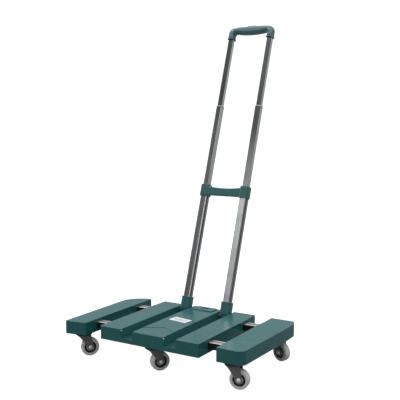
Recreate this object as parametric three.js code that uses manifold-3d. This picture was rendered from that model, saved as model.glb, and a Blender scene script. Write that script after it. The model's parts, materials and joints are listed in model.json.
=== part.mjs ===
// Folding platform cart: a ribbed plastic deck on six casters, two wings that pull out on steel
// rails, and a two-stage telescoping handle that tilts and folds flat into the deck's grooves.
//
// Units are millimetres. +X points to the right wing, +Y to the handle side and +Z up.
// The origin is the centre of the deck's top surface; inside the cart group heights are
// measured from the floor. The cart stands opened: wings out, handle extended and leaning back.

import * as THREE from "three";
import { mergeVertices } from "three/addons/utils/BufferGeometryUtils.js";
import Module from "manifold-3d";

const wasm = await Module();
wasm.setup();

// ---------------------------------------------------------------- driving dimensions

const GAP = 0.3; // clearance between pieces that touch or slide
const DEG = Math.PI / 180;
const SIDES = { left: -1, right: 1 };
const ENDS = { front: -1, rear: 1 };

// Deck
const DECK_TOP = 108;
const DECK_WIDTH = 320;
const DECK_DEPTH = 320;
const DECK_THICKNESS = 36.5;
const DECK_BOTTOM = DECK_TOP - DECK_THICKNESS;
const DECK_CORNER = 3.5;
const WALL = 3;
const CENTRE_RIB_WIDTH = 98;
const GROOVE_WIDTH = 41;
const GROOVE_DEPTH = 25;
const GROOVE_X = CENTRE_RIB_WIDTH / 2 + GROOVE_WIDTH / 2; // centre line of a groove
const COVER_THICKNESS = 4;
const PAD_WIDTH = 68; // raised pad round the fold button
const PAD_DEPTH = 37;
const PAD_MARGIN = 1.5; // from the pad to the deck's back edge
const PAD_HEIGHT = 2.5;

// Wings
const WING_INNER_X = 212;
const WING_SHAPE = {
  left: { width: 65, frontSweep: 12, frontRadius: 4, frontTaper: 0, chamferX: 52, chamferY: 48 },
  right: { width: 82, frontSweep: 0, frontRadius: 20, frontTaper: 6, chamferX: 15, chamferY: 28 },
};
const BOSS_RADIUS = 12; // solid boss that takes a caster's stem
const STEM_RADIUS = 5;

// Rails that carry the wings
const RAIL_DEPTH = 26;
const RAIL_HEIGHT = 19;
const RAIL_WALL = 1.6;
const RAIL_Y = 98;
const RAIL_Z = DECK_TOP - 8 - RAIL_HEIGHT / 2;
const RAIL_INNER_X = 144;
const RAIL_OUTER_X = 272;
const GUIDE_LENGTH = 13;
const GUIDE_WALL = 2.2;
const RAIL_SADDLE_WALL = 3;

// Handle: stations are distances from the pivot, measured along the handle
const PIVOT_Y = 141;
const PIVOT_Z = 97;
const REST_TILT = 18.75;
const SOCKET_TOP = 41;
const SOCKET_BOTTOM = 3;
const SOCKET_WIDTH = 33;
const SOCKET_DEPTH = 26.5;
const BARREL_RADIUS = 10;
const LOWER_TUBE = 22;
const MIDDLE_TUBE = 19;
const INNER_TUBE = 16;
const TUBE_WALL = 0.95;
const TUBE_CORNER = 2.5;
const LOWER_TUBE_BOTTOM = 7;
const YOKE_BOTTOM = 359;
const YOKE_TOP = 396;
const CLAMP_WIDTH = 29.5;
const CLAMP_FRONT = -15;
const CLAMP_BACK = 14;
const MIDDLE_TUBE_BOTTOM = 330;
const MIDDLE_TUBE_TOP = 654;
const COLLAR_HEIGHT = 3;
const COLLAR_WIDTH = 20.2;
const INNER_TUBE_BOTTOM = 598;
const GRIP_BOTTOM = 886.5;
const GRIP_TOP = 929;
const GRIP_DEPTH = 24;
const GRIP_LEG = 22.5;
const GRIP_BAR = 26; // thickness of the hand grip between the legs
const SHAFT_RADIUS = 3.5;
const SHAFT_LENGTH = 200;

// Release button in the grip
const BUTTON_LENGTH = 32;
const BUTTON_WIDTH = 10;
const ROD_RADIUS = 2;
const ROD_BAR_HEIGHT = GRIP_TOP - 15; // the bar that joins the two rods inside the grip
const ROD_INSERTION = 12; // how far the inner tubes reach into the grip's legs

// Fold button, its spring and the pawl that holds the handle
const CAM_X = -24;
const CAM_RADIUS = 7.5;
const SPRING_Y = 112;
const SPRING_RADIUS = 4;
const BUTTON_ARM_BOTTOM = 101;
const BUTTON_ARM_TOP = 104.6;

// Casters
const CASTER_X = { left: -245, centre: 0, right: 245 };
const CASTER_Y = 130;
const WHEEL_RADIUS = 26;
const WHEEL_WIDTH = 20;
const HUB_RADIUS = 17;
const TRAIL = 17; // from the swivel axis back to the axle
const AXLE_RADIUS = 3;
const RACE_RADIUS = 24;
const RACE_THICKNESS = 8;
const FORK_TOP = DECK_BOTTOM - RACE_THICKNESS - GAP;
const FORK_SHEET = 2.2;
const FORK_INNER = 22;
const FORK_PLATE_RADIUS = 20;
const FORK_FRONT = -19; // where the legs start, ahead of the swivel axis
const KING_PIN_RADIUS = 4;
const HUB_BOSS_RADIUS = 8;
const BOLT_HEAD_RADIUS = 5.2;
const BOLT_HEAD_HEIGHT = 3.5;
const CASTER_HEADING = {
  left_front: 48, centre_front: 52, right_front: 13,
  left_rear: -20, centre_rear: -35, right_rear: -19,
};

// ---------------------------------------------------------------- materials

function material(color, roughness, metalness) {
  return new THREE.MeshStandardMaterial({ color, roughness, metalness });
}

const deckPlastic = material(0x2f5654, 0.45, 0.0);
const buttonPlastic = material(0x1f3f3d, 0.5, 0.0);
const blackPlastic = material(0x17191a, 0.6, 0.0);
const tubeSteel = material(0x6a6b6d, 0.3, 1.0);
const railSteel = material(0xb9b6b2, 0.3, 1.0);
const forkSteel = material(0x4a4648, 0.5, 0.9);
const zincSteel = material(0xd4d4d4, 0.3, 1.0);
const tyreRubber = material(0x8b8788, 0.7, 0.0);
const hubPlastic = material(0x2a2a2b, 0.5, 0.0);

// ---------------------------------------------------------------- solids

function solid(geometry) {
  geometry.deleteAttribute("normal");
  geometry.deleteAttribute("uv");
  const merged = mergeVertices(geometry, 1e-4);
  return new wasm.Manifold(new wasm.Mesh({
    numProp: 3,
    vertProperties: new Float32Array(merged.attributes.position.array),
    triVerts: new Uint32Array(merged.index.array),
  }));
}

function geometryOf(manifold) {
  const mesh = manifold.getMesh();
  const geometry = new THREE.BufferGeometry();
  geometry.setAttribute("position", new THREE.BufferAttribute(mesh.vertProperties, 3));
  geometry.setIndex(new THREE.BufferAttribute(mesh.triVerts, 1));
  geometry.computeVertexNormals();
  return geometry;
}

// A box from its lowest to its highest corner.
function block(low, high) {
  const size = high.map((value, axis) => value - low[axis]);
  const geometry = new THREE.BoxGeometry(...size);
  geometry.translate(...high.map((value, axis) => (value + low[axis]) / 2));
  return solid(geometry);
}

// A round bar from one point to another.
function rod(radius, start, end, segments = 12) {
  const from = new THREE.Vector3(...start);
  const along = new THREE.Vector3(...end).sub(from);
  const geometry = new THREE.CylinderGeometry(radius, radius, along.length(), segments);
  geometry.translate(0, along.length() / 2, 0);
  const turn = new THREE.Quaternion();
  turn.setFromUnitVectors(new THREE.Vector3(0, 1, 0), along.normalize());
  geometry.applyQuaternion(turn);
  geometry.translate(...start);
  return solid(geometry);
}

// An outline in the XY plane, pulled up from one height to another.
function prism(shape, bottom, top, curveSegments = 3) {
  const geometry = new THREE.ExtrudeGeometry(shape, {
    depth: top - bottom, bevelEnabled: false, curveSegments,
  });
  geometry.translate(0, 0, bottom);
  return solid(geometry);
}

// An outline in the XZ plane, pulled along Y from front to back.
function slab(shape, front, back, curveSegments = 4) {
  const geometry = new THREE.ExtrudeGeometry(shape, {
    depth: back - front, bevelEnabled: false, curveSegments,
  });
  geometry.rotateX(Math.PI / 2);
  geometry.translate(0, back, 0);
  return solid(geometry);
}

// A profile of (radius, height) points turned about the Y axis.
function turned(points, segments) {
  const profile = points.map(([radius, height]) => new THREE.Vector2(radius, height));
  return solid(new THREE.LatheGeometry(profile, segments));
}

function roundedRectangle(width, depth, radius, x = 0, y = 0) {
  const shape = new THREE.Shape();
  const halfX = width / 2 - radius;
  const halfY = depth / 2 - radius;
  shape.absarc(x + halfX, y - halfY, radius, -90 * DEG, 0, false);
  shape.absarc(x + halfX, y + halfY, radius, 0, 90 * DEG, false);
  shape.absarc(x - halfX, y + halfY, radius, 90 * DEG, 180 * DEG, false);
  shape.absarc(x - halfX, y - halfY, radius, 180 * DEG, 270 * DEG, false);
  return shape;
}

// A square column with rounded corners, standing at x.
function column(size, bottom, top, x, corner = TUBE_CORNER) {
  return prism(roundedRectangle(size, size, corner, x), bottom, top);
}

function squareTube(size, bottom, top, x) {
  const inside = size - 2 * TUBE_WALL;
  const bore = column(inside, bottom - 1, top + 1, x, TUBE_CORNER - TUBE_WALL);
  return column(size, bottom, top, x).subtract(bore);
}

function part(parent, name, shape, look) {
  const mesh = new THREE.Mesh(geometryOf(shape), look);
  mesh.name = name;
  parent.add(mesh);
  return mesh;
}

// ---------------------------------------------------------------- deck

function railOpening(side, end, clearance) {
  const halfY = RAIL_DEPTH / 2 + clearance;
  const halfZ = RAIL_HEIGHT / 2 + clearance;
  const ends = [side * (DECK_WIDTH / 2 - GUIDE_LENGTH - 1), side * (DECK_WIDTH / 2 + 1)];
  return block(
    [Math.min(...ends), end * RAIL_Y - halfY, RAIL_Z - halfZ],
    [Math.max(...ends), end * RAIL_Y + halfY, RAIL_Z + halfZ],
  );
}

function buttonOval(grow) {
  const width = 22 + 2 * grow;
  const depth = 11 + 2 * grow;
  return roundedRectangle(width, depth, depth / 2 - 0.01, 0, PIVOT_Y);
}

function deckBody() {
  const outline = roundedRectangle(DECK_WIDTH, DECK_DEPTH, DECK_CORNER);
  let body = prism(outline, DECK_BOTTOM, DECK_TOP);

  const insideWidth = DECK_WIDTH - 2 * WALL;
  const insideDepth = DECK_DEPTH - 2 * WALL;
  const insideOutline = roundedRectangle(insideWidth, insideDepth, DECK_CORNER - WALL);
  let hollow = prism(insideOutline, DECK_BOTTOM - 1, DECK_TOP - WALL);

  const grooveFloor = DECK_TOP - GROOVE_DEPTH;
  for (const side of Object.values(SIDES)) {
    const low = side * GROOVE_X - GROOVE_WIDTH / 2;
    const high = side * GROOVE_X + GROOVE_WIDTH / 2;
    const reach = DECK_DEPTH / 2 + 1;
    body = body.subtract(block([low, -reach, grooveFloor], [high, reach, DECK_TOP + 1]));
    hollow = hollow.subtract(block(
      [low - WALL, -reach, grooveFloor - WALL],
      [high + WALL, reach, DECK_TOP + 1],
    ));
  }

  const padY = DECK_DEPTH / 2 - PAD_DEPTH / 2 - PAD_MARGIN;
  const pad = roundedRectangle(PAD_WIDTH, PAD_DEPTH, 6, 0, padY);
  body = body.add(prism(pad, DECK_TOP - 1, DECK_TOP + PAD_HEIGHT));
  body = body.subtract(hollow);
  body = body.subtract(prism(buttonOval(0.6), DECK_TOP - WALL - 1, DECK_TOP + PAD_HEIGHT + 1));

  const shaftEnd = SHAFT_LENGTH / 2 + 5;
  body = body.subtract(rod(
    SHAFT_RADIUS + GAP, [-shaftEnd, PIVOT_Y, PIVOT_Z], [shaftEnd, PIVOT_Y, PIVOT_Z],
  ));
  for (const side of Object.values(SIDES)) {
    for (const end of Object.values(ENDS)) {
      body = body.subtract(railOpening(side, end, GUIDE_WALL + GAP));
    }
  }
  return body;
}

function stemHole(x, y) {
  return rod(STEM_RADIUS + GAP, [x, y, DECK_BOTTOM - 1], [x, y, DECK_BOTTOM + 9]);
}

function deckBottomCover() {
  const width = DECK_WIDTH - 2 * WALL - 2 * GAP;
  const depth = DECK_DEPTH - 2 * WALL - 2 * GAP;
  const outline = roundedRectangle(width, depth, 2);
  let cover = prism(outline, DECK_BOTTOM, DECK_BOTTOM + COVER_THICKNESS);
  for (const end of Object.values(ENDS)) {
    cover = cover.subtract(stemHole(0, end * CASTER_Y));
  }
  return cover;
}

// ---------------------------------------------------------------- wings and rails

// A wing's outline, drawn for the right side and mirrored for the left. The inner edge is
// straight, the outer edge bows out a little, the outer front corner is rounded and the
// outer rear corner is cut away.
function wingOutline(sideName, inset) {
  const side = SIDES[sideName];
  const { width, frontSweep, frontRadius, frontTaper, chamferX, chamferY } = WING_SHAPE[sideName];
  const inner = WING_INNER_X + inset;
  const outer = WING_INNER_X + width - inset;
  const front = -DECK_DEPTH / 2 + inset;
  const back = DECK_DEPTH / 2 - inset;
  const radius = Math.max(frontRadius - inset, 1);
  const points = [[inner, front]];
  for (const angle of [-90, -67.5, -45, -22.5, 0]) {
    points.push([
      outer - frontTaper - radius + radius * Math.cos(angle * DEG),
      front - frontSweep + radius + radius * Math.sin(angle * DEG),
    ]);
  }
  points.push([outer, DECK_DEPTH * 0.2]);
  points.push([outer - frontTaper * 0.3, back - chamferY]);
  points.push([outer - chamferX * 0.42, back - chamferY * 0.42]);
  points.push([outer - chamferX, back]);
  points.push([inner, back]);
  return new THREE.Shape(points.map(([x, y]) => new THREE.Vector2(side * x, y)));
}

function wing(sideName) {
  const side = SIDES[sideName];
  const body = prism(wingOutline(sideName, 0), DECK_BOTTOM, DECK_TOP);
  let hollow = prism(wingOutline(sideName, WALL), DECK_BOTTOM - 1, DECK_TOP - WALL);
  let pockets = null;
  for (const end of Object.values(ENDS)) {
    const casterX = CASTER_X[sideName];
    const bossTop = DECK_TOP - WALL + 1;
    hollow = hollow.subtract(rod(
      BOSS_RADIUS, [casterX, end * CASTER_Y, DECK_BOTTOM - 2], [casterX, end * CASTER_Y, bossTop],
    ));
    const y = end * RAIL_Y;
    const saddleY = RAIL_DEPTH / 2 + RAIL_SADDLE_WALL;
    const saddleZ = RAIL_HEIGHT / 2 + RAIL_SADDLE_WALL;
    const saddleEnds = [side * WING_INNER_X, side * (RAIL_OUTER_X + RAIL_SADDLE_WALL)];
    hollow = hollow.subtract(block(
      [Math.min(...saddleEnds), y - saddleY, RAIL_Z - saddleZ],
      [Math.max(...saddleEnds), y + saddleY, RAIL_Z + saddleZ + WALL],
    ));
    const halfY = RAIL_DEPTH / 2 + GAP;
    const halfZ = RAIL_HEIGHT / 2 + GAP;
    const pocketEnds = [side * (WING_INNER_X - 1), side * (RAIL_OUTER_X + GAP)];
    const railPocket = block(
      [Math.min(...pocketEnds), y - halfY, RAIL_Z - halfZ],
      [Math.max(...pocketEnds), y + halfY, RAIL_Z + halfZ],
    );
    const cut = railPocket.add(stemHole(casterX, end * CASTER_Y));
    pockets = pockets ? pockets.add(cut) : cut;
  }
  return body.subtract(hollow).subtract(pockets);
}

function rail(side, end) {
  const ends = [side * RAIL_INNER_X, side * RAIL_OUTER_X];
  const low = Math.min(...ends);
  const high = Math.max(...ends);
  const y = end * RAIL_Y;
  const outer = block(
    [low, y - RAIL_DEPTH / 2, RAIL_Z - RAIL_HEIGHT / 2],
    [high, y + RAIL_DEPTH / 2, RAIL_Z + RAIL_HEIGHT / 2],
  );
  const boreY = RAIL_DEPTH / 2 - RAIL_WALL;
  const boreZ = RAIL_HEIGHT / 2 - RAIL_WALL;
  const bore = block([low - 1, y - boreY, RAIL_Z - boreZ], [high + 1, y + boreY, RAIL_Z + boreZ]);
  return outer.subtract(bore);
}

function railGuide(side, end) {
  const ends = [side * (DECK_WIDTH / 2 - GUIDE_LENGTH), side * DECK_WIDTH / 2];
  const y = end * RAIL_Y;
  const halfY = RAIL_DEPTH / 2 + GUIDE_WALL;
  const halfZ = RAIL_HEIGHT / 2 + GUIDE_WALL;
  const sleeve = block(
    [Math.min(...ends), y - halfY, RAIL_Z - halfZ],
    [Math.max(...ends), y + halfY, RAIL_Z + halfZ],
  );
  return sleeve.subtract(railOpening(side, end, GAP));
}

// ---------------------------------------------------------------- fold button and pawl

function foldButton() {
  const capBottom = BUTTON_ARM_TOP - 0.6;
  const cap = prism(buttonOval(0), capBottom, DECK_TOP + PAD_HEIGHT - 1);
  const arm = block(
    [-SPRING_RADIUS, SPRING_Y - SPRING_RADIUS, BUTTON_ARM_BOTTOM],
    [SPRING_RADIUS, PIVOT_Y - SHAFT_RADIUS - GAP, BUTTON_ARM_TOP],
  );
  const stemRadius = 2.5;
  const stemBottom = BUTTON_ARM_BOTTOM - 15;
  const stem = rod(stemRadius, [0, SPRING_Y, stemBottom], [0, SPRING_Y, BUTTON_ARM_BOTTOM + 1]);
  return cap.add(arm).add(stem);
}

function foldButtonSpring() {
  const wireRadius = 0.5;
  const bottom = DECK_BOTTOM + COVER_THICKNESS + GAP + wireRadius;
  const top = BUTTON_ARM_BOTTOM - GAP - wireRadius;
  const turns = 4;
  const stepsPerTurn = 9;
  const steps = turns * stepsPerTurn;
  const points = [];
  for (let step = 0; step <= steps; step += 1) {
    const angle = step * 360 / stepsPerTurn * DEG;
    const x = SPRING_RADIUS * Math.cos(angle);
    const y = SPRING_Y + SPRING_RADIUS * Math.sin(angle);
    points.push(new THREE.Vector3(x, y, bottom + (top - bottom) * step / steps));
  }
  const wire = new THREE.Shape();
  wire.absarc(0, 0, wireRadius, 0, 360 * DEG, false);
  return solid(new THREE.ExtrudeGeometry(wire, {
    steps, curveSegments: 2, extrudePath: new THREE.CatmullRomCurve3(points),
  }));
}

function lockPawl() {
  const back = PIVOT_Y - CAM_RADIUS - GAP;
  const length = 12;
  const halfWidth = 6;
  const halfHeight = 4;
  return block(
    [CAM_X - halfWidth, back - length, PIVOT_Z - halfHeight],
    [CAM_X + halfWidth, back, PIVOT_Z + halfHeight],
  );
}

function pivotShaft() {
  const half = SHAFT_LENGTH / 2;
  const camHalf = 3;
  const shaft = rod(SHAFT_RADIUS, [-half, 0, 0], [half, 0, 0]);
  return shaft.add(rod(CAM_RADIUS, [CAM_X - camHalf, 0, 0], [CAM_X + camHalf, 0, 0], 24));
}

// ---------------------------------------------------------------- handle

function socket(side) {
  const x = side * GROOVE_X;
  const barrelHalf = SOCKET_WIDTH / 2;
  const barrel = rod(BARREL_RADIUS, [x - barrelHalf, 0, 0], [x + barrelHalf, 0, 0], 24);
  const sleeve = prism(
    roundedRectangle(SOCKET_WIDTH, SOCKET_DEPTH, 7, x), SOCKET_BOTTOM, SOCKET_TOP,
  );
  const tubeHole = column(LOWER_TUBE + 2 * GAP, LOWER_TUBE_BOTTOM - GAP, SOCKET_TOP + 1, x);
  const shaftHole = rod(SHAFT_RADIUS + GAP, [x - 20, 0, 0], [x + 20, 0, 0]);
  return barrel.add(sleeve).subtract(tubeHole).subtract(shaftHole);
}

// Two clamps round the tubes, joined by a bar whose top edge dips in the middle.
function yoke() {
  const barFront = CLAMP_FRONT + 1;
  const barBack = -3;
  const barBottom = YOKE_BOTTOM + 2;
  const barTop = YOKE_TOP - 4;
  const dip = 5.5;
  const shoulder = 3; // thickness of the clamp's lip above the lower tube
  const bar = new THREE.Shape();
  bar.moveTo(-GROOVE_X, barBottom);
  bar.lineTo(GROOVE_X, barBottom);
  bar.lineTo(GROOVE_X, barTop);
  bar.quadraticCurveTo(0, barTop - 2 * dip, -GROOVE_X, barTop);
  bar.closePath();
  let body = slab(bar, barFront, barBack, 6);
  const middleY = (CLAMP_FRONT + CLAMP_BACK) / 2;
  const depth = CLAMP_BACK - CLAMP_FRONT;
  for (const side of Object.values(SIDES)) {
    const outline = roundedRectangle(CLAMP_WIDTH, depth, 7, side * GROOVE_X, middleY);
    body = body.add(prism(outline, YOKE_BOTTOM, YOKE_TOP));
  }
  for (const side of Object.values(SIDES)) {
    const x = side * GROOVE_X;
    const lip = YOKE_TOP - shoulder;
    body = body.subtract(column(LOWER_TUBE + 2 * GAP, YOKE_BOTTOM - 1, lip, x));
    body = body.subtract(column(MIDDLE_TUBE + 2 * GAP, lip - 1, YOKE_TOP + 1, x));
  }
  return body;
}

function tubeCollar(side) {
  const x = side * GROOVE_X;
  const bottom = MIDDLE_TUBE_TOP + GAP;
  const top = bottom + COLLAR_HEIGHT;
  const outer = column(COLLAR_WIDTH, bottom, top, x, 3);
  return outer.subtract(column(INNER_TUBE + 2 * GAP, bottom - 1, top + 1, x));
}

// The grip's front view: an arch with rounded shoulders, a slightly crowned top and a belly
// that hangs down between the two legs.
function gripOutline() {
  const outer = GROOVE_X + GRIP_LEG / 2;
  const inner = GROOVE_X - GRIP_LEG / 2;
  const shoulder = 22;
  const armpit = 8;
  const barBottom = GRIP_TOP - GRIP_BAR;
  const shape = new THREE.Shape();
  shape.moveTo(outer, GRIP_BOTTOM);
  shape.lineTo(outer, GRIP_TOP - 3 - shoulder);
  shape.quadraticCurveTo(outer, GRIP_TOP - 3, outer - shoulder, GRIP_TOP - 2);
  shape.quadraticCurveTo(0, GRIP_TOP + 2, -outer + shoulder, GRIP_TOP - 2);
  shape.quadraticCurveTo(-outer, GRIP_TOP - 3, -outer, GRIP_TOP - 3 - shoulder);
  shape.lineTo(-outer, GRIP_BOTTOM);
  shape.lineTo(-inner, GRIP_BOTTOM);
  shape.lineTo(-inner, barBottom - armpit + 4);
  shape.quadraticCurveTo(-inner, barBottom + 4, -inner + armpit, barBottom + 3);
  shape.quadraticCurveTo(0, barBottom - 6, inner - armpit, barBottom + 3);
  shape.quadraticCurveTo(inner, barBottom + 4, inner, barBottom - armpit + 4);
  shape.lineTo(inner, GRIP_BOTTOM);
  shape.closePath();
  return shape;
}

function grip() {
  let body = slab(gripOutline(), -GRIP_DEPTH / 2, GRIP_DEPTH / 2);
  const rodY = ROD_RADIUS + 1;
  const channelBottom = ROD_BAR_HEIGHT - 6;
  const channelTop = ROD_BAR_HEIGHT + 3;
  const reach = GROOVE_X + rodY;
  body = body.subtract(block([-reach, -rodY, channelBottom], [reach, rodY, channelTop]));
  for (const side of Object.values(SIDES)) {
    const x = side * GROOVE_X;
    const holeTop = GRIP_BOTTOM + ROD_INSERTION;
    body = body.subtract(column(INNER_TUBE + 2 * GAP, GRIP_BOTTOM - 1, holeTop, x));
    body = body.subtract(block([x - rodY, -rodY, holeTop - 1], [x + rodY, rodY, channelTop]));
  }
  const halfLength = BUTTON_LENGTH / 2 + GAP;
  const halfWidth = BUTTON_WIDTH / 2 + GAP;
  return body.subtract(block(
    [-halfLength, -halfWidth, channelTop - 4], [halfLength, halfWidth, GRIP_TOP + 5],
  ));
}

function gripButton() {
  const proud = 1.6;
  const plate = roundedRectangle(BUTTON_LENGTH, BUTTON_WIDTH, 3);
  return prism(plate, ROD_BAR_HEIGHT + ROD_RADIUS + GAP, GRIP_TOP + proud);
}

function releaseRods() {
  const foot = INNER_TUBE_BOTTOM + 8;
  const ends = [-GROOVE_X, GROOVE_X];
  let rods = rod(
    ROD_RADIUS, [ends[0] - 1, 0, ROD_BAR_HEIGHT], [ends[1] + 1, 0, ROD_BAR_HEIGHT], 10,
  );
  for (const x of ends) {
    rods = rods.add(rod(ROD_RADIUS, [x, 0, foot], [x, 0, ROD_BAR_HEIGHT], 10));
  }
  return rods;
}

// ---------------------------------------------------------------- casters

// In a caster's own frame the swivel axis is Z, the wheel trails towards +X and its axle
// lies along Y.
function casterMount() {
  const top = DECK_BOTTOM - GAP / 2;
  const bottom = top - RACE_THICKNESS;
  const headBottom = FORK_TOP - 6;
  const headTop = FORK_TOP - FORK_SHEET - 1 - GAP;
  const headRadius = 7;
  const race = rod(RACE_RADIUS, [0, 0, bottom], [0, 0, top], 24);
  const stem = rod(STEM_RADIUS, [0, 0, top - 1], [0, 0, DECK_BOTTOM + 7], 10);
  const pin = rod(KING_PIN_RADIUS, [0, 0, headBottom], [0, 0, bottom + 1], 10);
  const head = rod(headRadius, [0, 0, headBottom], [0, 0, headTop], 10);
  return race.add(stem).add(pin).add(head);
}

function casterFork() {
  const top = FORK_TOP - GAP;
  const back = -FORK_FRONT;
  const plate = rod(FORK_PLATE_RADIUS, [0, 0, top - FORK_SHEET], [0, 0, top], 20);
  const legRadius = 8;
  const leg = new THREE.Shape();
  leg.moveTo(FORK_FRONT, top);
  leg.lineTo(TRAIL - legRadius, WHEEL_RADIUS);
  leg.absarc(TRAIL, WHEEL_RADIUS, legRadius, 180 * DEG, 360 * DEG, false);
  leg.lineTo(back, top);
  leg.closePath();
  const inner = FORK_INNER / 2;
  let body = plate;
  for (const front of [-inner - FORK_SHEET, inner]) {
    body = body.add(slab(leg, front, front + FORK_SHEET));
  }
  const apronDrop = 19.5;
  const apronReach = 13;
  const apron = new THREE.Shape();
  apron.moveTo(FORK_FRONT, top);
  apron.lineTo(FORK_FRONT + apronReach, top - apronDrop);
  apron.lineTo(FORK_FRONT + apronReach + 2, top - apronDrop + 1.5);
  apron.lineTo(FORK_FRONT + 4, top);
  apron.closePath();
  body = body.add(slab(apron, -inner - 0.5, inner + 0.5));
  body = body.subtract(rod(KING_PIN_RADIUS + GAP, [0, 0, top - 5], [0, 0, top + 1]));
  return body.subtract(rod(
    AXLE_RADIUS + GAP, [TRAIL, -20, WHEEL_RADIUS], [TRAIL, 20, WHEEL_RADIUS],
  ));
}

function casterTyre() {
  const half = WHEEL_WIDTH / 2;
  const inside = HUB_RADIUS + GAP;
  const shoulder = WHEEL_RADIUS - 4;
  const tread = half - 5;
  return turned([
    [inside, -half], [shoulder, -half], [WHEEL_RADIUS, -tread],
    [WHEEL_RADIUS, tread], [shoulder, half], [inside, half], [inside, -half],
  ], 28).translate([TRAIL, 0, WHEEL_RADIUS]);
}

function casterHub() {
  const bore = AXLE_RADIUS + GAP;
  const face = WHEEL_WIDTH / 2 - 1;
  const boss = WHEEL_WIDTH / 2 + 0.5;
  return turned([
    [bore, -boss], [HUB_BOSS_RADIUS, -boss], [HUB_RADIUS, -face],
    [HUB_RADIUS, face], [HUB_BOSS_RADIUS, boss], [bore, boss], [bore, -boss],
  ], 18).translate([TRAIL, 0, WHEEL_RADIUS]);
}

function casterBolt() {
  const face = FORK_INNER / 2 + FORK_SHEET + GAP;
  const end = face + BOLT_HEAD_HEIGHT;
  const centre = (y) => [TRAIL, y, WHEEL_RADIUS];
  const shank = rod(AXLE_RADIUS, centre(-end), centre(end), 10);
  const head = rod(BOLT_HEAD_RADIUS, centre(-end), centre(-face), 6);
  const nut = rod(BOLT_HEAD_RADIUS, centre(face), centre(end), 6);
  return shank.add(head).add(nut);
}

function caster(parent, columnName, endName) {
  const name = `${columnName}_${endName}`;
  const place = new THREE.Group();
  place.position.set(CASTER_X[columnName], ENDS[endName] * CASTER_Y, 0);
  place.rotation.z = CASTER_HEADING[name] * DEG;
  parent.add(place);
  part(place, `${name}_caster_mount`, casterMount(), blackPlastic);
  part(place, `${name}_caster_fork`, casterFork(), forkSteel);
  part(place, `${name}_caster_tyre`, casterTyre(), tyreRubber);
  part(place, `${name}_caster_hub`, casterHub(), hubPlastic);
  part(place, `${name}_caster_bolt`, casterBolt(), zincSteel);
}

// ---------------------------------------------------------------- assembly

const cart = new THREE.Group();
cart.position.z = -DECK_TOP;

part(cart, "deck_body", deckBody(), deckPlastic);
part(cart, "deck_bottom_cover", deckBottomCover(), deckPlastic);
part(cart, "fold_button", foldButton(), buttonPlastic);
part(cart, "fold_button_spring", foldButtonSpring(), zincSteel);
part(cart, "lock_pawl", lockPawl(), forkSteel);

for (const [sideName, side] of Object.entries(SIDES)) {
  part(cart, `${sideName}_wing`, wing(sideName), deckPlastic);
  for (const [endName, end] of Object.entries(ENDS)) {
    part(cart, `${sideName}_${endName}_rail`, rail(side, end), railSteel);
    part(cart, `${sideName}_${endName}_rail_guide`, railGuide(side, end), blackPlastic);
  }
}

for (const columnName of Object.keys(CASTER_X)) {
  for (const endName of Object.keys(ENDS)) {
    caster(cart, columnName, endName);
  }
}

const handle = new THREE.Group();
handle.position.set(0, PIVOT_Y, PIVOT_Z);
handle.rotation.x = -REST_TILT * DEG;
cart.add(handle);

part(handle, "pivot_shaft", pivotShaft(), zincSteel);
for (const [sideName, side] of Object.entries(SIDES)) {
  const x = side * GROOVE_X;
  part(handle, `${sideName}_socket`, socket(side), deckPlastic);
  part(handle, `${sideName}_lower_tube`,
    squareTube(LOWER_TUBE, LOWER_TUBE_BOTTOM, YOKE_TOP - 3 - GAP, x), tubeSteel);
  part(handle, `${sideName}_middle_tube`,
    squareTube(MIDDLE_TUBE, MIDDLE_TUBE_BOTTOM, MIDDLE_TUBE_TOP, x), tubeSteel);
  part(handle, `${sideName}_tube_collar`, tubeCollar(side), railSteel);
  part(handle, `${sideName}_inner_tube`,
    squareTube(INNER_TUBE, INNER_TUBE_BOTTOM, GRIP_BOTTOM + ROD_INSERTION - 0.5, x), tubeSteel);
}
part(handle, "yoke", yoke(), deckPlastic);
part(handle, "grip", grip(), deckPlastic);
part(handle, "grip_button", gripButton(), buttonPlastic);
part(handle, "release_rods", releaseRods(), zincSteel);

const model = new THREE.Group();
model.add(cart);

export default model;
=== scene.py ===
import json
import math

import bmesh
import bpy
from mathutils import Matrix, Vector


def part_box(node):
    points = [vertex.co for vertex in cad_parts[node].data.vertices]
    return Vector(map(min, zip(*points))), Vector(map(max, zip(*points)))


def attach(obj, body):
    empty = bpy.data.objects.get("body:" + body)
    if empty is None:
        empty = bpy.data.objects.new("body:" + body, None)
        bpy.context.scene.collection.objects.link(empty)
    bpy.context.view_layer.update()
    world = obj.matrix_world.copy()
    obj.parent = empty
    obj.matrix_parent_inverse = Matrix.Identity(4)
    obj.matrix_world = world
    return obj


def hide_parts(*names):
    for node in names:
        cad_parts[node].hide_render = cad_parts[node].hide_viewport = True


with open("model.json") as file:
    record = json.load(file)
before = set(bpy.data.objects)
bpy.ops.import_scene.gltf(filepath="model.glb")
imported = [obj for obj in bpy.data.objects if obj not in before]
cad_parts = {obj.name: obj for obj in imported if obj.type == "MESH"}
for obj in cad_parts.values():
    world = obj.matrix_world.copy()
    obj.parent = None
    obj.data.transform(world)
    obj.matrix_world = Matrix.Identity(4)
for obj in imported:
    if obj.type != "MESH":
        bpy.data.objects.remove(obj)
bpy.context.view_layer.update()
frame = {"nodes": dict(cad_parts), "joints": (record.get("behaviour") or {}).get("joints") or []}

MM = 0.001
SCENE = bpy.context.scene
JOINTS = {joint["name"]: joint for joint in frame["joints"]}
SIDES = {"left": -1, "right": 1}
ENDS = {"front": -1, "rear": 1}


def millimetres(vector):
    return Vector(vector) / MM


def corners(box):
    return [millimetres(corner) for corner in box]


# ---------------------------------------------------------------- driving dimensions (mm)

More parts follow.
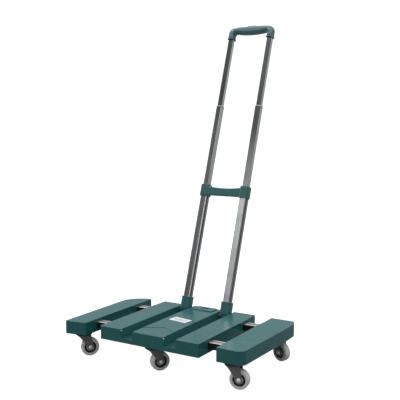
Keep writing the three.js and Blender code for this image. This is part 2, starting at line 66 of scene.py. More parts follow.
DECK_LOW, DECK_HIGH = corners(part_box("deck_body"))
HALF = DECK_HIGH.x
DECK_BOTTOM = DECK_LOW.z
PAD_TOP = DECK_HIGH.z
WALL = 3.0
CORNER = 3.5
RIB_HALF = 49.0
GROOVE_OUTER = 90.0
GROOVE_X = (RIB_HALF + GROOVE_OUTER) / 2
GROOVE_HALF = (GROOVE_OUTER - RIB_HALF) / 2
GROOVE_FLOOR = -25.0
PAD = {"width": 68.0, "front": 121.5, "back": 158.5, "radius": 7.0}
PAD_Y = (PAD["front"] + PAD["back"]) / 2
COVER_TOP = DECK_BOTTOM + 4.0
LABEL_X, LABEL_Y, LABEL_TURN = -1.0, 4.0, -9.0
STEP_DEPTH = 0.7  # how far the end fields of the ribs and wings lie below their middle
CENTRE_CHEVRON = [(-RIB_HALF - 1, -110.0), (1.0, -80.0), (RIB_HALF + 1, -107.0)]
LEFT_RIB_CHEVRON = [(-HALF - 1, 106.0), (-126.0, 111.0), (-89.0, 117.0)]
# width, depth and corner radius of the fold button's cap, its hole and the recess round it
FOLD_CAP, FOLD_HOLE, FOLD_RECESS = (22.0, 11.0, 5.4), (23.2, 12.2, 6.0), (25.0, 13.5, 6.6)
SPRING_Y = 112.0

WING_INNER = millimetres(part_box("right_wing")[0]).x
WING_OUTER = {
    "left": -millimetres(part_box("left_wing")[0]).x,
    "right": millimetres(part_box("right_wing")[1]).x,
}
WING_SHAPE = {
    "left": {"sweep": 12.0, "radius": 4.0, "taper": 0.0, "chamfer_x": 52.0, "chamfer_y": 48.0},
    "right": {"sweep": 0.0, "radius": 20.0, "taper": 6.0, "chamfer_x": 15.0, "chamfer_y": 28.0},
}

RAIL_WALL = 1.6

PIVOT = millimetres(JOINTS["handle_tilt"]["pos_m"])
SHAFT_RADIUS = 3.5
SOCKET_TOP = 41.0
SOCKET_WIDTH, SOCKET_DEPTH = 33.0, 26.5
TUBES = {
    "lower": {"size": 22.0, "bottom": 7.0, "top": 392.7},
    "middle": {"size": 19.0, "bottom": 330.0, "top": 654.0},
    "inner": {"size": 16.0, "bottom": 598.0, "top": 898.0},
}
TUBE_WALL = 0.95
TUBE_CORNER = 2.5
CLEARANCE = 0.3
YOKE_BOTTOM, YOKE_TOP = 359.0, 396.0
CLAMP_WIDTH, CLAMP_FRONT, CLAMP_BACK = 29.5, -15.0, 14.0
COLLAR_BOTTOM, COLLAR_TOP = 654.3, 657.3
COLLAR_WIDTH = 20.2
GRIP_BOTTOM, GRIP_TOP = 886.5, 929.0
GRIP_DEPTH = 24.0
GRIP_LEG = 22.5
GRIP_BAR = 26.0  # thickness of the hand grip between the legs
GRIP_BUTTON, GRIP_SLOT = (32.0, 10.0, 3.0), (32.6, 10.6, 3.2)  # width, depth and corner radius
TUBE_INSERTION = 12.0  # how far the inner tubes reach into the grip
ROD_WAY = 3.0  # half width of the space for the release rods and their bar
ROD_WAY_BOTTOM, ROD_WAY_TOP = GRIP_TOP - 21, GRIP_TOP - 12

FLOOR = -108.0
WING_CASTER_X = 245.0
CASTER_Y = 130.0
BOSS_RADIUS = 12.0
STEM_RADIUS = 5.0
WHEEL_RADIUS = 26.0
TRAIL = 17.0
RACE_TOP = DECK_BOTTOM - 0.15
RACE_RADIUS = 24.0
RACE_BOTTOM = RACE_TOP - 8.0
FORK_TOP = RACE_BOTTOM - 0.15
AXLE_Z = FLOOR + WHEEL_RADIUS
FORK_PLATE_TOP = FORK_TOP - 0.3
FORK_INSIDE, FORK_OUTSIDE = 11.0, 13.2
AXLE_RADIUS = 3.0
TYRE_INSIDE = 17.3

# ---------------------------------------------------------------- outlines


def arc(x, y, radius, start, end, steps):
    """Points on an arc from one angle to another, in degrees."""
    angles = [math.radians(start + (end - start) * step / steps) for step in range(steps + 1)]
    return [(x + radius * math.cos(angle), y + radius * math.sin(angle)) for angle in angles]


def curve(start, control, end, steps=8):
    """Points on a quadratic curve, without its first one."""
    points = []
    for step in range(1, steps + 1):
        t = step / steps
        points.append(tuple(
            a * (1 - t) ** 2 + 2 * b * t * (1 - t) + c * t * t
            for a, b, c in zip(start, control, end)
        ))
    return points


def rounded_rectangle(width, depth, radius, x=0.0, y=0.0, steps=5):
    points = []
    for quarter, (side_x, side_y) in enumerate(((1, -1), (1, 1), (-1, 1), (-1, -1))):
        centre_x = x + side_x * (width / 2 - radius)
        centre_y = y + side_y * (depth / 2 - radius)
        start = -90 + 90 * quarter
        points += arc(centre_x, centre_y, radius, start, start + 90, steps)
    return points


def circle(radius, x=0.0, y=0.0, steps=32):
    return arc(x, y, radius, 0, 360, steps)[:-1]


def inset(outline, distance):
    """The outline moved inwards by a distance, with mitred corners."""
    inner = []
    for index, point in enumerate(outline):
        here = Vector(point)
        along = (here - Vector(outline[index - 1])).normalized()
        onward = (Vector(outline[(index + 1) % len(outline)]) - here).normalized()
        normal = Vector((-along.y, along.x))
        next_normal = Vector((-onward.y, onward.x))
        mitre = (normal + next_normal) / (1 + normal.dot(next_normal))
        inner.append(tuple(here + mitre * distance))
    return inner


# ---------------------------------------------------------------- solids


def as_object(mesh_data):
    bmesh.ops.recalc_face_normals(mesh_data, faces=mesh_data.faces)
    mesh = bpy.data.meshes.new("solid")
    mesh_data.to_mesh(mesh)
    mesh_data.free()
    made = bpy.data.objects.new("solid", mesh)
    SCENE.collection.objects.link(made)
    return made


def loft(rings, closed=False):
    """A skin through rings of equally many points, capped at both ends unless it closes."""
    mesh_data = bmesh.new()
    rows = [[mesh_data.verts.new(point) for point in ring] for ring in rings]
    pairs = list(zip(rows, rows[1:]))
    if closed:
        pairs.append((rows[-1], rows[0]))
    for low, high in pairs:
        for index in range(len(low)):
            after = (index + 1) % len(low)
            mesh_data.faces.new((low[index], low[after], high[after], high[index]))
    if not closed:
        mesh_data.faces.new(rows[0][::-1])
        mesh_data.faces.new(rows[-1])
    return as_object(mesh_data)


def prism(outline, low, high, edge=0.0, steps=3):
    """An outline pulled up from one height to another, its rims rounded by the edge radius."""
    levels = [(low, 0.0), (high, 0.0)]
    if edge:
        turns = [math.radians(90 * step / steps) for step in range(steps + 1)]
        rise = [(edge * (1 - math.cos(turn)), edge * (1 - math.sin(turn))) for turn in turns]
        levels = [(low + up, inward) for up, inward in rise]
        levels += [(high - up, inward) for up, inward in reversed(rise)]
    return loft([
        [(x, y, height) for x, y in inset(outline, inward)] for height, inward in levels
    ])


def block(low, high):
    outline = [(low[0], low[1]), (high[0], low[1]), (high[0], high[1]), (low[0], high[1])]
    return prism(outline, low[2], high[2])


def turned(profile, steps=48):
    """A closed profile of (radius, height) points turned about Z."""
    angles = [math.tau * step / steps for step in range(steps)]
    return loft([
        [(radius * math.cos(angle), radius * math.sin(angle), height) for angle in angles]
        for radius, height in profile
    ], closed=True)


def moved(solid, matrix):
    solid.data.transform(matrix)
    return solid


def shifted(solid, x=0.0, y=0.0, z=0.0):
    return moved(solid, Matrix.Translation((x, y, z)))


def lying_along_y(solid):
    """Turns a solid so that what ran up Z runs towards -Y."""
    return moved(solid, Matrix.Rotation(math.radians(90), 4, "X"))


def slab(outline, front, back, edge=0.0, steps=3):
    """An outline of (x, z) points pulled along Y from front to back."""
    return lying_along_y(prism(outline, -back, -front, edge, steps))


def bar(radius, start, end, steps=24, edge=0.0):
    """A round bar between two points."""
    along = Vector(end) - Vector(start)
    turn = Vector((0, 0, 1)).rotation_difference(along).to_matrix().to_4x4()
    made = prism(circle(radius, steps=steps), 0.0, along.length, edge)
    return moved(made, Matrix.Translation(start) @ turn)


def bake(solid):
    graph = bpy.context.evaluated_depsgraph_get()
    mesh = bpy.data.meshes.new_from_object(solid.evaluated_get(graph))
    solid.modifiers.clear()
    solid.data = mesh
    return solid


def combine(base, tools, operation):
    for tool in tools:
        modifier = base.modifiers.new("combine", "BOOLEAN")
        modifier.operation = operation
        modifier.solver = "MANIFOLD"
        modifier.object = tool
    bake(base)
    for tool in tools:
        bpy.data.objects.remove(tool)
    return base


def cut(base, *tools):
    return combine(base, tools, "DIFFERENCE")


def join(base, *tools):
    return combine(base, tools, "UNION")


def soften(solid, width, segments=2, limit=32.0):
    """Rounds every edge sharper than the limit."""
    mesh_data = bmesh.new()
    mesh_data.from_mesh(solid.data)
    bmesh.ops.remove_doubles(mesh_data, verts=mesh_data.verts, dist=0.001)
    bmesh.ops.dissolve_limit(
        mesh_data, angle_limit=math.radians(0.5), verts=mesh_data.verts, edges=mesh_data.edges,
    )
    mesh_data.to_mesh(solid.data)
    mesh_data.free()
    modifier = solid.modifiers.new("soften", "BEVEL")
    modifier.width = width
    modifier.segments = segments
    modifier.limit_method = "ANGLE"
    modifier.angle_limit = math.radians(limit)
    return bake(solid)


def smooth(solid, angle=35.0):
    solid.data.polygons.foreach_set("use_smooth", [True] * len(solid.data.polygons))
    solid.data.set_sharp_from_angle(angle=math.radians(angle))
    modifier = solid.modifiers.new("normals", "WEIGHTED_NORMAL")
    modifier.keep_sharp = True
    modifier.weight = 80


def set_looks(solid, *looks):
    solid.data.materials.clear()
    for look in looks:
        solid.data.materials.append(look)


def piece(name, solid, body, look, nodes=(), place=None):
    """Names a finished solid, gives it its material and hangs it on its body."""
    solid.name = name
    solid.data.name = name
    solid.data.transform(Matrix.Scale(MM, 4))
    if place:
        solid.matrix_world = place
    if not solid.data.materials:
        solid.data.materials.append(look)
    solid.data.materials[0] = look
    smooth(solid)
    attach(solid, body)
    if nodes:
        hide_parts(*nodes)


# ---------------------------------------------------------------- materials


class NodeTree:
    """A short way to write nodes: each method adds one and returns its output."""

    def __init__(self, tree):
        self.tree = tree

    def new(self, kind, **settings):
        node = self.tree.nodes.new(kind)
        for key, value in settings.items():
            setattr(node, key, value)
        return node

    def link(self, source, target):
        self.tree.links.new(source, target)

    def feed(self, target, value):
        """Links an input to another node's output, or sets it to a number or colour."""
        if isinstance(value, bpy.types.NodeSocket):
            self.link(value, target)
        else:
            target.default_value = value

    def span(self, value, low, high, to_low=0.0, to_high=1.0, interpolation="LINEAR"):
        node = self.new("ShaderNodeMapRange", interpolation_type=interpolation)
        for key, number in zip(("From Min", "From Max", "To Min", "To Max"),
                               (low, high, to_low, to_high)):
            node.inputs[key].default_value = number
        self.link(value, node.inputs["Value"])
        return node.outputs["Result"]

    def math(self, operation, first, second):
        node = self.new("ShaderNodeMath", operation=operation)
        self.feed(node.inputs[0], first)
        self.feed(node.inputs[1], second)
        return node.outputs[0]


class MaterialNodes(NodeTree):
    """The nodes of one material, their textures placed in the object's own axes."""

    def __init__(self, name):
        self.material = bpy.data.materials.new(name)
        self.material.use_nodes = True
        super().__init__(self.material.node_tree)
        self.shader = self.tree.nodes["Principled BSDF"]
        self.place = self.new("ShaderNodeTexCoord").outputs["Object"]

    def shade(self, name, value):
        """Gives one of the shader's inputs its value."""
        self.feed(self.shader.inputs[name], value)

    def uneven_gloss(self, source, low, high):
        self.shade("Roughness", self.span(source, 0.3, 0.7, low, high))

    def stretched(self, scale):
        node = self.new("ShaderNodeMapping")
        node.inputs["Scale"].default_value = scale
        self.link(self.place, node.inputs["Vector"])
        return node.outputs["Vector"]

    def noise(self, scale, detail=4.0, roughness=0.55, vector=None):
        node = self.new("ShaderNodeTexNoise")
        node.inputs["Scale"].default_value = scale
        node.inputs["Detail"].default_value = detail
        node.inputs["Roughness"].default_value = roughness
        self.link(vector or self.place, node.inputs["Vector"])
        return node.outputs["Fac"]

    def mix(self, factor, first, second):
        node = self.new("ShaderNodeMix", data_type="RGBA")
        self.link(factor, node.inputs["Factor"])
        for index, value in ((6, first), (7, second)):
            self.feed(node.inputs[index], (*value, 1.0) if isinstance(value, tuple) else value)
        return node.outputs[2]

    def bump(self, height, strength, distance):
        node = self.new("ShaderNodeBump")
        node.inputs["Strength"].default_value = strength
        node.inputs["Distance"].default_value = distance
        self.link(height, node.inputs["Height"])
        self.link(node.outputs["Normal"], self.shader.inputs["Normal"])

    def edges(self, radius=0.0014):
        """1 along edges and 0 on flat faces, broken up by noise."""
        rounded = self.new("ShaderNodeBevel", samples=4)
        rounded.inputs["Radius"].default_value = radius
        compare = self.new("ShaderNodeVectorMath", operation="DOT_PRODUCT")
        self.link(rounded.outputs["Normal"], compare.inputs[0])
        self.link(self.new("ShaderNodeNewGeometry").outputs["Normal"], compare.inputs[1])
        near = self.span(compare.outputs["Value"], 0.97, 0.75)
        broken = self.span(self.noise(160.0), 0.35, 0.65)
        return self.math("MULTIPLY", near, broken)


def toned(colour, factor, lift=0.0):
    return tuple(channel * factor + lift for channel in colour)


def moulded_plastic(name, colour, roughness=0.33, grain=0.12, wear_and_edge_sheen=0.3, specular=0.4):
    """Moulded plastic: mottled colour, fine grain, faint scuffs and paler edges, partly wear and partly
    a painted edge highlight.
    """
    nodes = MaterialNodes(name)
    mottle = nodes.span(nodes.noise(260.0, detail=5.0, roughness=0.65), 0.3, 0.7)
    base = nodes.mix(mottle, toned(colour, 0.9), toned(colour, 1.08, 0.001))
    # paler edges: a painted edge highlight along the rims, mixed with wear
    edges = nodes.math("MULTIPLY", nodes.edges(), wear_and_edge_sheen)
    nodes.shade("Base Color", nodes.mix(edges, base, toned(colour, 0.8, 0.06)))
    scuffs = nodes.noise(60.0, detail=8.0, roughness=0.7, vector=nodes.stretched((1, 0.25, 1)))
    nodes.uneven_gloss(scuffs, roughness - 0.04, roughness + 0.06)
    nodes.shade("Specular IOR Level", specular)
    nodes.bump(nodes.noise(1400.0, detail=2.0), grain, 0.0001)
    return nodes.material


def drawn_steel(
    name, colour, low_painted_reflection=None, painted_fade=(0.2, 0.7), roughness=0.3, streaks=(700, 700, 6), metallic=1.0,
):
    """Drawn steel: fine streaks along the bar and smudges. The colour may change with height, as a
    painted reflection.
    """
    nodes = MaterialNodes(name)
    lines = nodes.noise(1.0, detail=4.0, roughness=0.6, vector=nodes.stretched(streaks))
    height = nodes.new("ShaderNodeSeparateXYZ")
    nodes.link(nodes.place, height.inputs["Vector"])
    # painted reflection: the colour changes with height
    tone = nodes.mix(nodes.span(height.outputs["Z"], *painted_fade), low_painted_reflection or colour, colour)
    shaded = nodes.new("ShaderNodeHueSaturation")
    nodes.link(tone, shaded.inputs["Color"])
    nodes.link(nodes.span(lines, 0.3, 0.7, 0.88, 1.12), shaded.inputs["Value"])
    nodes.shade("Base Color", shaded.outputs["Color"])
    smudges = nodes.noise(25.0, detail=5.0)
    nodes.uneven_gloss(smudges, roughness - 0.04, roughness + 0.06)
    nodes.shade("Metallic", metallic)
    nodes.bump(lines, 0.05, 0.0001)
    return nodes.material


def painted_steel(name, colour, roughness=0.42):
    """Powder-coated pressed steel: orange-peel bump and bare metal glinting on the edges."""
    nodes = MaterialNodes(name)
    mottle = nodes.span(nodes.noise(240.0, detail=6.0), 0.35, 0.65)
    base = nodes.mix(mottle, toned(colour, 0.78), colour)
    edges = nodes.edges(0.0008)
    nodes.shade("Base Color", nodes.mix(edges, base, (0.2, 0.19, 0.19)))
    nodes.uneven_gloss(nodes.noise(90.0), roughness - 0.08, roughness + 0.12)
    nodes.shade("Metallic", 0.35)
    nodes.bump(nodes.noise(900.0), 0.2, 0.0003)
    return nodes.material


def rubber(name, colour):
    """Grey wheel rubber: mottled and matt, with patches of dirt and fine scratches."""
    nodes = MaterialNodes(name)
    mottle = nodes.span(nodes.noise(120.0, detail=8.0), 0.3, 0.7)
    base = nodes.mix(mottle, toned(colour, 0.82), colour)
    dirt = nodes.span(nodes.noise(420.0, detail=6.0, roughness=0.7), 0.55, 0.75, 0.0, 0.5)
    nodes.shade("Base Color", nodes.mix(dirt, base, toned(colour, 0.55)))
    nodes.uneven_gloss(nodes.noise(200.0), 0.5, 0.68)
    nodes.bump(nodes.noise(1100.0), 0.25, 0.0003)
    return nodes.material


def sliding_rail(name):
    """A rail, black on its sides and bright steel along its top, by which way each face points: painted
    shade on the sides and painted light on the top.
    """
    nodes = MaterialNodes(name)
    normal = nodes.new("ShaderNodeSeparateXYZ")
    nodes.link(nodes.new("ShaderNodeNewGeometry").outputs["Normal"], normal.inputs["Vector"])
    lines = nodes.noise(1.0, detail=6.0, vector=nodes.stretched((14, 500, 500)))
    steel = nodes.mix(nodes.span(lines, 0.3, 0.7), (0.4, 0.37, 0.35), (0.62, 0.59, 0.56))
    # painted light and shade: faces that point up get bright steel, the others black
    lit_top = nodes.span(normal.outputs["Z"], 0.45, 0.75)
    nodes.shade("Base Color", nodes.mix(lit_top, (0.012, 0.012, 0.013), steel))
    nodes.shade("Metallic", nodes.span(lit_top, 0.0, 1.0, 0.1, 0.9))
    nodes.uneven_gloss(lines, 0.28, 0.42)
    nodes.bump(lines, 0.15, 0.0002)
    return nodes.material


def label_film(name):
    """White printed film, faintly uneven."""
    nodes = MaterialNodes(name)
    drift = nodes.span(nodes.noise(90.0), 0.35, 0.65)
    base = nodes.mix(drift, (0.74, 0.73, 0.75), (0.86, 0.86, 0.88))
    nodes.shade("Base Color", base)
    nodes.uneven_gloss(nodes.noise(300.0), 0.3, 0.45)
    nodes.bump(nodes.noise(700.0), 0.08, 0.0002)
    return nodes.material


green_plastic = moulded_plastic("green_plastic", (0.0145, 0.112, 0.109), roughness=0.25)
# darker, matt green for the groove floors: painted shade where the grooves lie in shadow
groove_floor_painted_shade = moulded_plastic("groove_floor_painted_shade", (0.012, 0.075, 0.073), roughness=0.5, specular=0.2)
# lighter green for the groove walls: painted light that lifts their shade
groove_wall_painted_light = moulded_plastic("groove_wall_painted_light", (0.033, 0.149, 0.149), roughness=0.4)
grip_plastic = moulded_plastic("grip_plastic", (0.035, 0.135, 0.135), roughness=0.16, specular=1.2)
handle_plastic = moulded_plastic("handle_plastic", (0.03, 0.13, 0.128), roughness=0.18, specular=0.9)
# pale green for the thin beads: a painted glint along them
bead_painted_glint = moulded_plastic("bead_painted_glint", (0.17, 0.33, 0.33), roughness=0.4)
button_plastic = moulded_plastic("button_plastic", (0.012, 0.05, 0.049), roughness=0.4)
black_plastic = moulded_plastic("black_plastic", (0.012, 0.012, 0.013), roughness=0.45)
hub_black = moulded_plastic("hub_black", (0.008, 0.008, 0.009), roughness=0.3)
hub_grey = moulded_plastic("hub_grey", (0.42, 0.42, 0.43), roughness=0.2)
# The tube steels below are lit and shaded copies of one drawn steel. Their darker and paler fronts,
# lighter sides and bright corner strips are painted reflections, different on the left and right tubes.
# The dark side channels are painted shade.
tube_grey = drawn_steel("tube_grey", (0.08, 0.077, 0.075), (0.38, 0.365, 0.36), roughness=0.28)
tube_fading = drawn_steel(
    "tube_fading", (0.115, 0.11, 0.107), (0.6, 0.58, 0.57), painted_fade=(0.36, 0.58), roughness=0.28,
)
tube_pale = drawn_steel("tube_pale", (1.0, 0.97, 0.95), roughness=0.34)
tube_corner_painted_highlight = drawn_steel("tube_corner_painted_highlight", (1.0, 0.98, 0.97), roughness=0.4)
tube_side = drawn_steel("tube_side", (0.5, 0.485, 0.48), roughness=0.3)
tube_side_painted_light = drawn_steel("tube_side_painted_light", (0.7, 0.685, 0.68), roughness=0.34)
tube_channel_painted_shade = painted_steel("tube_channel_painted_shade", (0.055, 0.052, 0.052))
bright_steel = drawn_steel("bright_steel", (0.62, 0.61, 0.6), roughness=0.25)
zinc = drawn_steel("zinc", (0.95, 0.95, 0.96), roughness=0.22, streaks=(90, 90, 90), metallic=0.55)
fork_steel = painted_steel("fork_steel", (0.21, 0.2, 0.2))
tyre_rubber = rubber("tyre_rubber", (0.84, 0.79, 0.765))
rail_steel = sliding_rail("rail_steel")
label_white = label_film("label_white")
label_red = moulded_plastic("label_red", (0.58, 0.3, 0.31), roughness=0.4)
label_grey = moulded_plastic("label_grey", (0.5, 0.5, 0.53), roughness=0.4)

# ---------------------------------------------------------------- deck


def both_sides(make):
    return [make(side) for side in SIDES.values()]


def field_step(points, back):
    """Lowers an end field: its chevron edge, then the deck's own end."""
    outline = points + [(points[-1][0], back), (points[0][0], back)]
    if back < points[0][1]:
        outline.reverse()
    return prism(outline, -STEP_DEPTH, 1.0)


def deck_hollow():
    """The space inside the deck, open below, that leaves a wall round both grooves."""
    inside = 2 * (HALF - WALL)
    hollow = prism(rounded_rectangle(inside, inside, CORNER - WALL), DECK_BOTTOM - 1, -WALL)
    grooves = both_sides(lambda side: block(
        (side * GROOVE_X - GROOVE_HALF - WALL, -HALF - 1, GROOVE_FLOOR - WALL),
        (side * GROOVE_X + GROOVE_HALF + WALL, HALF + 1, 1.0),
    ))
    return cut(hollow, *grooves)


def rail_window(rail_name):
    """The opening in the deck's side that holds a rail guide."""
    low, high = corners(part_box(f"{rail_name}_rail_guide"))
    grow = Vector((1.0, CLEARANCE, CLEARANCE))
    return block(low - grow, high + grow)


def deck_body():
    """The ribbed platform with its raised pad, grooves, lowered end fields and rail windows."""
    body = prism(rounded_rectangle(2 * HALF, 2 * HALF, CORNER), DECK_BOTTOM, 0.0)
    depth = PAD["back"] - PAD["front"]
    pad_outline = rounded_rectangle(PAD["width"], depth, PAD["radius"], 0.0, PAD_Y)
    body = join(body, prism(pad_outline, -1.5, PAD_TOP, edge=1.4))
    grooves = both_sides(lambda side: block(
        (side * GROOVE_X - GROOVE_HALF, -HALF - 1, GROOVE_FLOOR),
        (side * GROOVE_X + GROOVE_HALF, HALF + 1, PAD_TOP + 1),
    ))
    steps = [field_step(CENTRE_CHEVRON, -HALF - 1), field_step(LEFT_RIB_CHEVRON, HALF + 1)]
    recess = prism(rounded_rectangle(*FOLD_RECESS, 0.0, PIVOT.y), -6.0, PAD_TOP + 1)
    hole = prism(rounded_rectangle(*FOLD_HOLE, 0.0, PIVOT.y), -10.0, PAD_TOP + 1)
    shaft_end = GROOVE_OUTER + 15
    shaft = bar(
        SHAFT_RADIUS + CLEARANCE, (-shaft_end, PIVOT.y, PIVOT.z), (shaft_end, PIVOT.y, PIVOT.z),
    )
    windows = [rail_window(f"{side}_{end}") for side in SIDES for end in ENDS]
    body = cut(body, *grooves, *steps, deck_hollow(), recess, hole, shaft, *windows)
    body = soften(body, 0.8, 3)
    set_looks(body, green_plastic, groove_floor_painted_shade, groove_wall_painted_light)
    for face in body.data.polygons:
        beside_groove = RIB_HALF - 1 < abs(face.center.x) < GROOVE_OUTER + 1
        # groove floors: painted shade
        if face.normal.z > 0.7 and abs(face.center.z - GROOVE_FLOOR) < 1.0:
            face.material_index = 1
        # groove walls: painted light
        elif abs(face.normal.x) > 0.9 and beside_groove:
            face.material_index = 2
    return body


def groove_detents(side):
    """The two steel balls in a groove's mouth that hold the folded tube."""
    balls = []
    for x, towards in ((side * RIB_HALF, side), (side * GROOVE_OUTER, -side)):
        places = [(x + towards * reach, -HALF + 4.5, -4.6) for reach in (-2.0, 1.9)]
        balls.append(bar(1.9, *places, edge=1.8))
    return join(*balls)


def bead(points, width=1.5, height=0.3):
    """A thin raised line on a top face."""
    front = [(x, y - width / 2) for x, y in points]
    back = [(x, y + width / 2) for x, y in reversed(points)]
    return prism(front + back, -0.05, height)


def label_plate(width, depth, radius, low, high, x=0.0, y=0.0):
    """A thin plate placed in the label's own, slightly turned, axes."""
    plate = prism(rounded_rectangle(width, depth, radius, x, y), low, high)
    turn = Matrix.Rotation(math.radians(LABEL_TURN), 4, "Z")
    return moved(plate, Matrix.Translation((LABEL_X, LABEL_Y, 0)) @ turn)


def label():
    return label_plate(61.0, 33.0, 1.2, 0.02, 0.32)


def label_band(width, depth, x, y):
    return label_plate(width, depth, 0.8, 0.3, 0.36, x, y)


def stem_hole(x, y):
    """The blind hole that holds a caster's stem."""
    return bar(STEM_RADIUS + CLEARANCE, (x, y, DECK_BOTTOM - 3), (x, y, DECK_BOTTOM + 9))


def bottom_cover():
    """The plate that closes the deck from below, with six sunk panels."""
    size = 2 * (HALF - WALL - CLEARANCE)
    cover = prism(rounded_rectangle(size, size, 2.0), DECK_BOTTOM, COVER_TOP)
    holes = [stem_hole(0, end * CASTER_Y) for end in ENDS.values()]
    panels = [
        prism(rounded_rectangle(118.0, 62.0, 6.0, side * 78.0, y), DECK_BOTTOM - 1, DECK_BOTTOM + 1.2)
        for side in SIDES.values() for y in (-76.0, 0.0, 76.0)
    ]
    return soften(cut(cover, *holes, *panels), 0.6)


def screw(x, y, z):
    """A pan-head cross screw seen from below."""
    head = prism(circle(3.6, steps=24), -1.4, 0.0, edge=0.9)
    reach, half = 2.2, 0.45
    slots = [
        block((-reach, -half, -2.0), (reach, half, -0.7)),
        block((-half, -reach, -2.0), (half, reach, -0.7)),
    ]
    return shifted(cut(head, *slots), x, y, z)


def cover_screws():
    places = [(x, y) for x in (-146, 0, 146) for y in (-148, -44, 44, 148)]
    return join(*[screw(x, y, DECK_BOTTOM + 1.0) for x, y in places])


def fold_button():
    """A dished oval cap with the arm and stem that press the lock pawl."""
    cap = prism(rounded_rectangle(*FOLD_CAP, 0.0, PIVOT.y), -4.0, PAD_TOP - 1.0, edge=1.5)
    dish = moved(
        prism(circle(20.0, steps=48), 0.0, 12.0, edge=9.0, steps=6),
        Matrix.Translation((0, PIVOT.y, PAD_TOP - 1.6)),
    )
    arm = block((-4, SPRING_Y - 4, -7.0), (4, PIVOT.y - SHAFT_RADIUS - CLEARANCE, -3.4))
    stem = bar(2.5, (0, SPRING_Y, -22), (0, SPRING_Y, -5))
    return soften(join(cut(cap, dish), arm, stem), 0.3)


piece("deck_shell", deck_body(), "deck", green_plastic, ["deck_body"])
piece("bottom_cover", bottom_cover(), "deck", green_plastic, ["deck_bottom_cover"])
piece("cover_screws", cover_screws(), "deck", zinc)
for side_name, side in SIDES.items():
    piece(f"{side_name}_groove_detents", groove_detents(side), "deck", zinc)
# the pale bead is a painted glint along the rear of the right rib
piece("right_rib_bead", bead([(124.0, 103.0), (150.0, 95.0)]), "deck", bead_painted_glint)
piece("deck_label", label(), "deck", label_white)
piece("label_red_band", label_band(44.0, 5.6, -1.0, 2.0), "deck", label_red)
piece("label_grey_band", label_band(30.0, 4.0, 2.0, -8.0), "deck", label_grey)
piece(
    "fold_button_cap", fold_button(), "fold_button", button_plastic, ["fold_button"],
)

# ---------------------------------------------------------------- wings and rails


def wing_outline(side_name, inward, steps=8):
    """The wing's plan: rounded front corner, slightly bowed side and a cut-off rear corner."""
    shape = WING_SHAPE[side_name]
    inner = WING_INNER + inward
    outer = WING_OUTER[side_name] - inward
    front = -HALF + inward
    back = HALF - inward
    radius = max(shape["radius"] - inward, 1.0)
    outline = [(inner, front)]
    corner_x = outer - shape["taper"] - radius
    outline += arc(corner_x, front - shape["sweep"] + radius, radius, -90, 0, steps)
    outline.append((outer, 0.4 * HALF))
    outline.append((outer - 0.3 * shape["taper"], back - shape["chamfer_y"]))
    outline += curve(
        outline[-1],
        (outer - 0.25 * shape["chamfer_x"], back - 0.3 * shape["chamfer_y"]),
        (outer - shape["chamfer_x"], back),
        steps=4,
    )
    outline.append((inner, back))
    if side_name == "left":
        outline = [(-x, y) for x, y in reversed(outline)]
    return outline


def spanning(x, other_x, low_y, high_y, low_z, high_z):
    """A block between two X places given in either order."""
    return block((min(x, other_x), low_y, low_z), (max(x, other_x), high_y, high_z))


def wing(side_name):
    """An open-bottomed shell with caster bosses, rail saddles and stiffening ribs inside."""
    side = SIDES[side_name]
    inner = side * WING_INNER
    outer = side * WING_OUTER[side_name]
    body = prism(wing_outline(side_name, 0.0), DECK_BOTTOM, 0.0)
    hollow = prism(wing_outline(side_name, WALL), DECK_BOTTOM - 1, -WALL)
    kept = []
    pockets = []
    for end_name, end in ENDS.items():
        low, high = corners(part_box(f"{side_name}_{end_name}_rail"))
        rail_end = high.x if side > 0 else low.x
        kept.append(spanning(
            inner, rail_end + side * WALL, low.y - WALL, high.y + WALL, low.z - WALL, 0.0,
        ))
        pockets.append(spanning(
            inner - side, rail_end + side * CLEARANCE, low.y - CLEARANCE, high.y + CLEARANCE,
            low.z - CLEARANCE, high.z + CLEARANCE,
        ))
        x, y = side * WING_CASTER_X, end * CASTER_Y
        kept.append(bar(BOSS_RADIUS, (x, y, DECK_BOTTOM - 2), (x, y, -1)))
        pockets.append(stem_hole(x, y))
    for y in (-60.0, -20.0, 20.0, 60.0):
        kept.append(spanning(inner + side, outer - side, y - 1, y + 1, DECK_BOTTOM + 3, 0.0))
    chevron = sorted([(inner - side, 104.0), (side * 250.0, 96.0), (outer + side, 92.0)])
    end_field = field_step(chevron, HALF + 1)
    return soften(cut(body, cut(hollow, *kept), *pockets, end_field), 0.9, 3)


def rail(side_name, end_name):
    """A square tube with rolled edges, a centre groove on top and an open inner end."""
    low, high = corners(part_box(f"{side_name}_{end_name}_rail"))
    size = high - low
    middle = (low + high) / 2
    section = rounded_rectangle(size.y, size.z, 2.2, steps=4)
    bore = rounded_rectangle(size.y - 2 * RAIL_WALL, size.z - 2 * RAIL_WALL, 1.4, steps=4)
    tube = prism(section, 0.0, size.x, edge=0.4, steps=2)
    tube = cut(tube, prism(bore, -1.0, size.x + 1.0))
    groove = block((-1.4, size.z / 2 - 0.7, -1.0), (1.4, size.z, size.x + 1.0))
    tube = cut(tube, groove)
    turn = Matrix(((0, 0, 1, 0), (1, 0, 0, 0), (0, 1, 0, 0), (0, 0, 0, 1)))
    return moved(tube, Matrix.Translation((low.x, middle.y, middle.z)) @ turn)


def rail_guide(side_name, end_name):
    """The sleeve in the deck's side that a rail slides through."""
    low, high = corners(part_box(f"{side_name}_{end_name}_rail_guide"))
    rail_low, rail_high = corners(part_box(f"{side_name}_{end_name}_rail"))
    opening = block(
        (low.x - 1, rail_low.y - CLEARANCE, rail_low.z - CLEARANCE),
        (high.x + 1, rail_high.y + CLEARANCE, rail_high.z + CLEARANCE),
    )
    return soften(cut(block(low, high), opening), 0.5)


